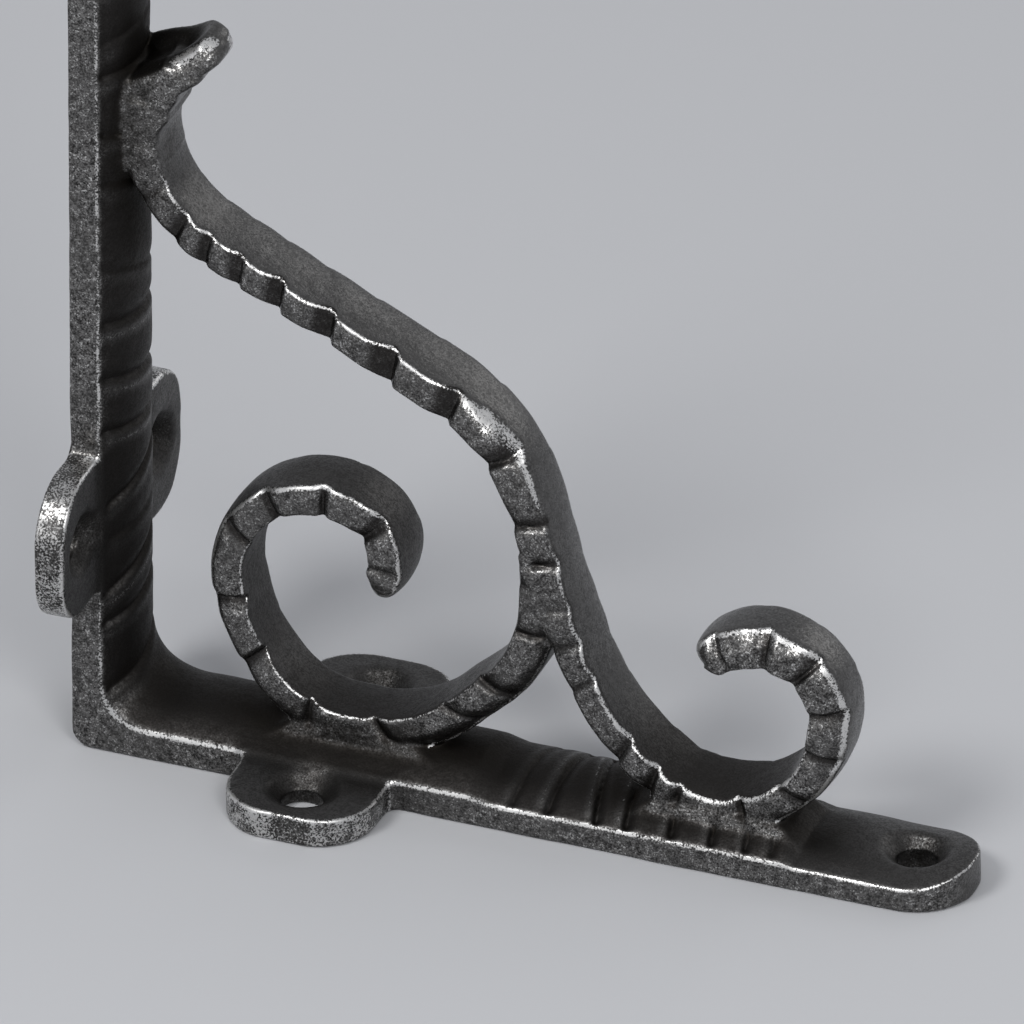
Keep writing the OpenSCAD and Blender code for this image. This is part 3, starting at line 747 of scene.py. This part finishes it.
def without_islands(face_tag, quads):
    """Gives each small patch of faces with one tag the tag of the faces beside it."""
    edges = np.sort(np.concatenate([quads[:, [a, (a + 1) % 4]] for a in range(4)]), 1)
    faces = np.tile(np.arange(len(quads)), 4)
    key = edges[:, 0].astype(np.int64) * (quads.max() + 1) + edges[:, 1]
    order = np.argsort(key, kind="stable")
    key, faces = key[order], faces[order]
    same = key[1:] == key[:-1]
    a, b = faces[:-1][same], faces[1:][same]
    for _ in range(6):
        inner = face_tag[a] == face_tag[b]
        parent = np.arange(len(face_tag))
        ea, eb = a[inner], b[inner]
        while True:
            pa, pb = parent[ea], parent[eb]
            low_, high_ = np.minimum(pa, pb), np.maximum(pa, pb)
            if (low_ == high_).all():
                break
            np.minimum.at(parent, high_, low_)
            while True:
                up = parent[parent]
                if (up == parent).all():
                    break
                parent = up
        sizes = np.bincount(parent, minlength=len(parent))[parent]
        biggest = np.zeros(len(NODES), int)
        np.maximum.at(biggest, face_tag, sizes)
        small = sizes < np.minimum(biggest[face_tag], SMALL_ISLAND)
        if not small.any():
            break
        for u, v in ((a, b), (b, a)):
            pick = small[u] & ~small[v]
            face_tag[u[pick]] = face_tag[v[pick]]
    return face_tag


face_tag = without_islands(face_tag, quads)
places = points * STEP + np.array([gx_[0], gy_[0], gz_[0]])

# The inner faces of the legs are blacker than the rest: partly their own black skin, partly painted
# shade
SHELF_SIDE = [NODES.index(n) for n in ("shelf_leg", "shelf_ear_near", "shelf_ear_far", "scroll_foot",
                                       "curl_foot", "corner_bend")]
WALL_SIDE = [NODES.index(n) for n in ("wall_leg", "wall_ear_near", "wall_ear_far", "corner_bend")]
on_shelf = np.isin(tag, SHELF_SIDE) * ramp(normals[:, 2], 0.35, 0.75)
on_wall = np.isin(tag, WALL_SIDE) * ramp(normals[:, 0], 0.35, 0.75)
on_ear = ramp(np.abs(places[:, 1]), 9.5, 11)
on_shelf = on_shelf * (1 - 0.55 * np.maximum(ramp(places[:, 0], 119, 124), on_ear))
on_wall = on_wall * (1 - 0.45 * np.maximum(ramp(places[:, 2], 136, 142), on_ear))
inner_black_and_shade = np.maximum(on_shelf, on_wall)
# The bars' upward faces low over the shelf leg get painted shade too, and the inner scroll is darker
# but for its near side
bars = np.isin(tag, [NODES.index(n) for n in ("brace_scroll", "inner_scroll")])
low_faces = 0.85 * ramp(normals[:, 2], 0.3, 0.8) * ramp(-places[:, 2], -30, -16)
scroll_back = 0.65 * (tag == NODES.index("inner_scroll")) * ramp(normals[:, 1], -0.5, 0.0) \
    * ramp(-places[:, 0], -78, -62)
ridge_look = sample(ridge, points)
inner_black_and_shade = inner_black_and_shade * (1 - 1.5 * np.minimum(ridge_look, 0.4))
inner_black_and_shade = np.maximum(inner_black_and_shade, bars * np.maximum(low_faces, scroll_back))
# The sides are grainier than the faces, and the bars' near sides get painted shade in their dents
side_look = ramp(np.abs(normals[:, 1]), 0.35, 0.8)
dent_painted_shade = bars * ramp(-normals[:, 1], 0.2, 0.6) * sample(recess, points)
places = places + HEEL
places = np.clip(places, np.array(cad_low) / MM, np.array(cad_high) / MM) * MM


# Scales of the noises on the iron, from slow patches to fine grain
PATCHES, WEAR, PITS, GRAIN, SPARKS = 70, 330, 700, 2900, 3300
PIT_DEPTH, GRAIN_DEPTH = 0.00010, 0.000035
# The first colour darkens the inner faces, partly black skin and partly painted shade, and gives
# painted shade in the dents; the second darkens hollows and gives painted shade in sheltered places
BLACK_AND_SHADE, HOLLOW_DARK_AND_SHADE = (0.020, 0.018, 0.017), (0.014, 0.012, 0.010)


# Cast iron: a dark grainy skin, rubbed bright on its edges, darker in its hollows, with painted shade
# in sheltered places and dents, and black skin with painted shade on inner faces
def iron(name, base, rub, rough):
    mat = bpy.data.materials.new(name)
    mat.use_nodes = True
    nt = mat.node_tree
    for n in list(nt.nodes):
        nt.nodes.remove(n)
    link = nt.links.new

    def node(kind, **values):
        n = nt.nodes.new(kind)
        for key, value in values.items():
            if hasattr(n, key):
                setattr(n, key, value)
            else:
                n.inputs[key].default_value = value
        return n

    def noise(scale, detail, roughness=0.5):
        n = node("ShaderNodeTexNoise")
        n.inputs["Scale"].default_value = scale
        n.inputs["Detail"].default_value = detail
        n.inputs["Roughness"].default_value = roughness
        link(coords.outputs["Object"], n.inputs["Vector"])
        return n.outputs["Fac"]

    def remap(value, a, b, c=0.0, d=1.0):
        n = node("ShaderNodeMapRange")
        n.interpolation_type = "SMOOTHSTEP"
        for key, v in zip(("From Min", "From Max", "To Min", "To Max"), (a, b, c, d)):
            n.inputs[key].default_value = v
        link(value, n.inputs["Value"])
        return n.outputs["Result"]

    def calc(kind, a, b):
        n = node("ShaderNodeMath")
        n.operation = kind
        for socket, v in zip(n.inputs, (a, b)):
            if isinstance(v, (int, float)):
                socket.default_value = v
            else:
                link(v, socket)
        return n.outputs["Value"]

    def mix(fac, a, b):
        n = node("ShaderNodeMix")
        n.data_type = "RGBA"
        link(fac, n.inputs["Factor"])
        for key, v in (("A", a), ("B", b)):
            socket = [s for s in n.inputs if s.name == key and s.type == "RGBA"][0]
            if isinstance(v, tuple):
                socket.default_value = (*v, 1)
            else:
                link(v, socket)
        return [s for s in n.outputs if s.type == "RGBA"][0]

    def times(colour, much):
        return tuple(v * much for v in colour)

    def attribute(key):
        n = node("ShaderNodeAttribute")
        n.attribute_type = "GEOMETRY"
        n.attribute_name = key
        return n.outputs["Fac"]

    coords = node("ShaderNodeTexCoord")
    patches = noise(PATCHES, 4, 0.6)
    pits = noise(PITS, 3, 0.6)
    grain = noise(GRAIN, 2, 0.65)
    sparks = noise(SPARKS, 1, 0.5)
    edge, hollow = attribute("edge"), attribute("hollow")
    occlusion_shade, inner = attribute("occlusion_shade"), attribute("inner")
    ridge, side = attribute("ridge"), attribute("side")
    # Painted shade in the dents of the bars' near sides
    dent = remap(calc("ADD", attribute("dent"), calc("MULTIPLY", pits, 0.6)), 0.48, 1.05)
    # Bare metal shows on the edges, and in a broken line along the ridges
    rubbed = remap(calc("ADD", edge, calc("MULTIPLY", pits, 0.2)), 0.30, 0.45)
    wear = calc("ADD", calc("MULTIPLY", grain, 2.0), calc("MULTIPLY", noise(WEAR, 1), 0.9))
    worn_ridge = calc("MULTIPLY", remap(calc("ADD", ridge, wear), 1.88, 2.14), remap(ridge, 0.30, 0.50))
    rubbed = calc("MAXIMUM", rubbed, worn_ridge)
    # Darker in hollows, and painted shade in sheltered places
    hollow_dark_and_shade = remap(calc("ADD", hollow, calc("MULTIPLY", patches, 0.4)), 0.05, -0.40)
    hollow_dark_and_shade = calc("MAXIMUM", hollow_dark_and_shade, remap(occlusion_shade, 0.05, 0.32, 0.0, 0.85))
    # The skin, from the faces to the sides, with its black parts: painted shade in the dents, and black
    # skin with painted shade on the inner faces
    shade_of = calc("ADD", calc("MULTIPLY", grain, 0.7), calc("MULTIPLY", pits, 0.3))
    worn = remap(shade_of, 0.36, 0.64)
    smooth_skin = mix(worn, times(base, 0.4), base)
    side_skin = mix(worn, times(base, 0.08), times(base, 1.35))
    bright_grains = calc("MULTIPLY", remap(sparks, 0.56, 0.66), remap(pits, 0.42, 0.60))
    side_skin = mix(bright_grains, side_skin, rub)
    skin = mix(side, smooth_skin, side_skin)
    skin = mix(remap(patches, 0.3, 0.7, 0.0, 0.5), skin, times(base, 0.6))
    dark = calc("MAXIMUM", calc("MULTIPLY", inner, 0.9), calc("MULTIPLY", dent, 0.85))
    skin = mix(dark, skin, BLACK_AND_SHADE)
    with_hollow_dark_and_shade = mix(hollow_dark_and_shade, skin, HOLLOW_DARK_AND_SHADE)
    colour = mix(calc("MULTIPLY", rubbed, remap(shade_of, 0.28, 0.44)), with_hollow_dark_and_shade, rub)
    shade = node("ShaderNodeBsdfPrincipled")
    link(colour, shade.inputs["Base Color"])
    shade.inputs["Metallic"].default_value = 0.92
    shade.inputs["Specular IOR Level"].default_value = 0.4
    gloss = remap(shade_of, 0.35, 0.60, rough + 0.12, rough - 0.04)
    gloss = calc("ADD", gloss, calc("MULTIPLY", hollow_dark_and_shade, 0.12))
    gloss = calc("ADD", gloss, calc("MULTIPLY", inner, 0.22))
    gloss = calc("ADD", gloss, calc("MULTIPLY", rubbed, 0.04))
    link(gloss, shade.inputs["Roughness"])
    bump = node("ShaderNodeBump")
    bump.inputs["Distance"].default_value = PIT_DEPTH
    link(remap(rubbed, 0.0, 1.0, 1.0, 0.35), bump.inputs["Strength"])
    link(pits, bump.inputs["Height"])
    bump2 = node("ShaderNodeBump")
    bump2.inputs["Distance"].default_value = GRAIN_DEPTH
    link(remap(rubbed, 0.0, 1.0, 1.0, 0.3), bump2.inputs["Strength"])
    link(grain, bump2.inputs["Height"])
    link(bump.outputs["Normal"], bump2.inputs["Normal"])
    link(bump2.outputs["Normal"], shade.inputs["Normal"])
    out = node("ShaderNodeOutputMaterial")
    link(shade.outputs["BSDF"], out.inputs["Surface"])
    return mat


dark_iron = iron("dark_iron", (0.17, 0.166, 0.162), (0.62, 0.615, 0.605), 0.30)
rubbed_iron = iron("rubbed_iron", (0.17, 0.166, 0.162), (0.66, 0.655, 0.645), 0.29)


def make_piece(number, name):
    """Makes a node's piece from its faces of the surface."""
    mine = quads[face_tag == number]
    used, inverse = np.unique(mine, return_inverse=True)
    faces = inverse.reshape(-1, 4)
    # The open edges go down into the metal, and are closed there
    a, b = faces.ravel(), np.roll(faces, -1, axis=1).ravel()
    key, back_key = a.astype(np.int64) * len(used) + b, b.astype(np.int64) * len(used) + a
    alone = ~np.isin(key, back_key)
    a, b = a[alone], b[alone]
    rim, rim_of = np.unique(np.concatenate([a, b]), return_inverse=True)
    a2, b2 = rim_of[:len(a)] + len(used), rim_of[len(a):] + len(used)
    faces = np.concatenate([faces, np.stack([b, a, a2, b2], 1)])
    used = np.concatenate([used, used[rim]])
    spots = places[used].copy()
    spots[-len(rim):] -= 0.8 * MM * normals[used[-len(rim):]]
    mesh = bpy.data.meshes.new(name + "_skin")
    mesh.vertices.add(len(used))
    mesh.vertices.foreach_set("co", spots.astype(np.float32).ravel())
    mesh.loops.add(faces.size)
    mesh.loops.foreach_set("vertex_index", faces.ravel().astype(np.int32))
    mesh.polygons.add(len(faces))
    mesh.polygons.foreach_set("loop_start", (np.arange(len(faces)) * 4).astype(np.int32))
    mesh.polygons.foreach_set("use_smooth", np.ones(len(faces), bool))
    mesh.update(calc_edges=True)
    for key, values in (("edge", edge_look), ("hollow", hollow_look), ("occlusion_shade", occlusion_shade_look),
                        ("inner", inner_black_and_shade), ("dent", dent_painted_shade),
                        ("ridge", ridge_look), ("side", side_look)):
        data = mesh.attributes.new(key, "FLOAT", "POINT").data
        data.foreach_set("value", values[used].astype(np.float32))
    bm = bmesh.new()
    bm.from_mesh(mesh)
    bmesh.ops.holes_fill(bm, edges=[e for e in bm.edges if e.is_boundary], sides=0)
    bm.to_mesh(mesh)
    bm.free()
    n = np.zeros((len(mesh.vertices), 3))
    n[:len(used)] = normals[used]
    mesh.normals_split_custom_set_from_vertices(n.tolist())
    piece = bpy.data.objects.new(name + "_iron", mesh)
    bpy.context.scene.collection.objects.link(piece)
    bar_like = name in ("brace_scroll", "spur", "inner_scroll")
    mesh.materials.append(rubbed_iron if bar_like else dark_iron)
    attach(piece, "root")
    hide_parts(name)
    return piece


for number, name in enumerate(NODES):
    make_piece(number, name)

# The floor, the light and the camera
floor_mesh = bpy.data.meshes.new("floor")
floor_mesh.from_pydata([(-3, -3, 0), (3, -3, 0), (3, 3, 0), (-3, 3, 0)], [], [(0, 1, 2, 3)])
floor = bpy.data.objects.new("floor", floor_mesh)
bpy.context.scene.collection.objects.link(floor)
floor_mat = bpy.data.materials.new("pale_floor")
floor_mat.use_nodes = True
floor_mat.node_tree.nodes["Principled BSDF"].inputs["Base Color"].default_value = (0.53, 0.535, 0.55, 1)
floor_mat.node_tree.nodes["Principled BSDF"].inputs["Roughness"].default_value = 0.85
floor_mesh.materials.append(floor_mat)

world = bpy.data.worlds.new("studio")
world.use_nodes = True
world.node_tree.nodes["Background"].inputs["Color"].default_value = (0.93, 0.95, 1.0, 1)
world.node_tree.nodes["Background"].inputs["Strength"].default_value = 0.46
bpy.context.scene.world = world

middle = Vector(((71.3 + HEEL[0]) * MM, -0.07 * MM, 53.25 * MM))


def direction(azimuth, elevation):
    """Way from the object to a lamp or the camera. Azimuth 0 is on the -y side, 90 on the +x side."""
    a, e = math.radians(azimuth), math.radians(elevation)
    return Vector((math.sin(a) * math.cos(e), -math.cos(a) * math.cos(e), math.sin(e)))


def lamp(name, azimuth, elevation, distance, size, power):
    data = bpy.data.lights.new(name, "AREA")
    data.shape = "DISK"
    data.size = size
    data.energy = power
    ob = bpy.data.objects.new(name, data)
    way = direction(azimuth, elevation)
    ob.location = middle + way * distance
    ob.rotation_euler = (-way).to_track_quat("-Z", "Y").to_euler()
    bpy.context.scene.collection.objects.link(ob)


lamp("key", -31, 48, 1.6, 0.55, 10)
lamp("side", 36, 38, 1.6, 0.6, 8)
lamp("front", -22, 10, 1.8, 0.9, 2)
lamp("back", 152, 25, 1.6, 1.1, 2.4)

# The camera is fitted to the photograph, with its focal length in pixels of a square frame
CAMERA_AZ, CAMERA_EL, CAMERA_M = 20.98, 31.41, 6.0
FOCAL_PX, FRAME_PX = 37980, 1024
back = direction(CAMERA_AZ, CAMERA_EL)
cam_data = bpy.data.cameras.new("camera")
cam_data.sensor_width = 36
cam_data.lens = FOCAL_PX / FRAME_PX * cam_data.sensor_width
camera = bpy.data.objects.new("camera", cam_data)
camera.location = middle + back * CAMERA_M
camera.rotation_euler = back.to_track_quat("Z", "Y").to_euler()
bpy.context.scene.collection.objects.link(camera)
bpy.context.scene.camera = camera
bpy.context.scene.view_settings.view_transform = "Standard"
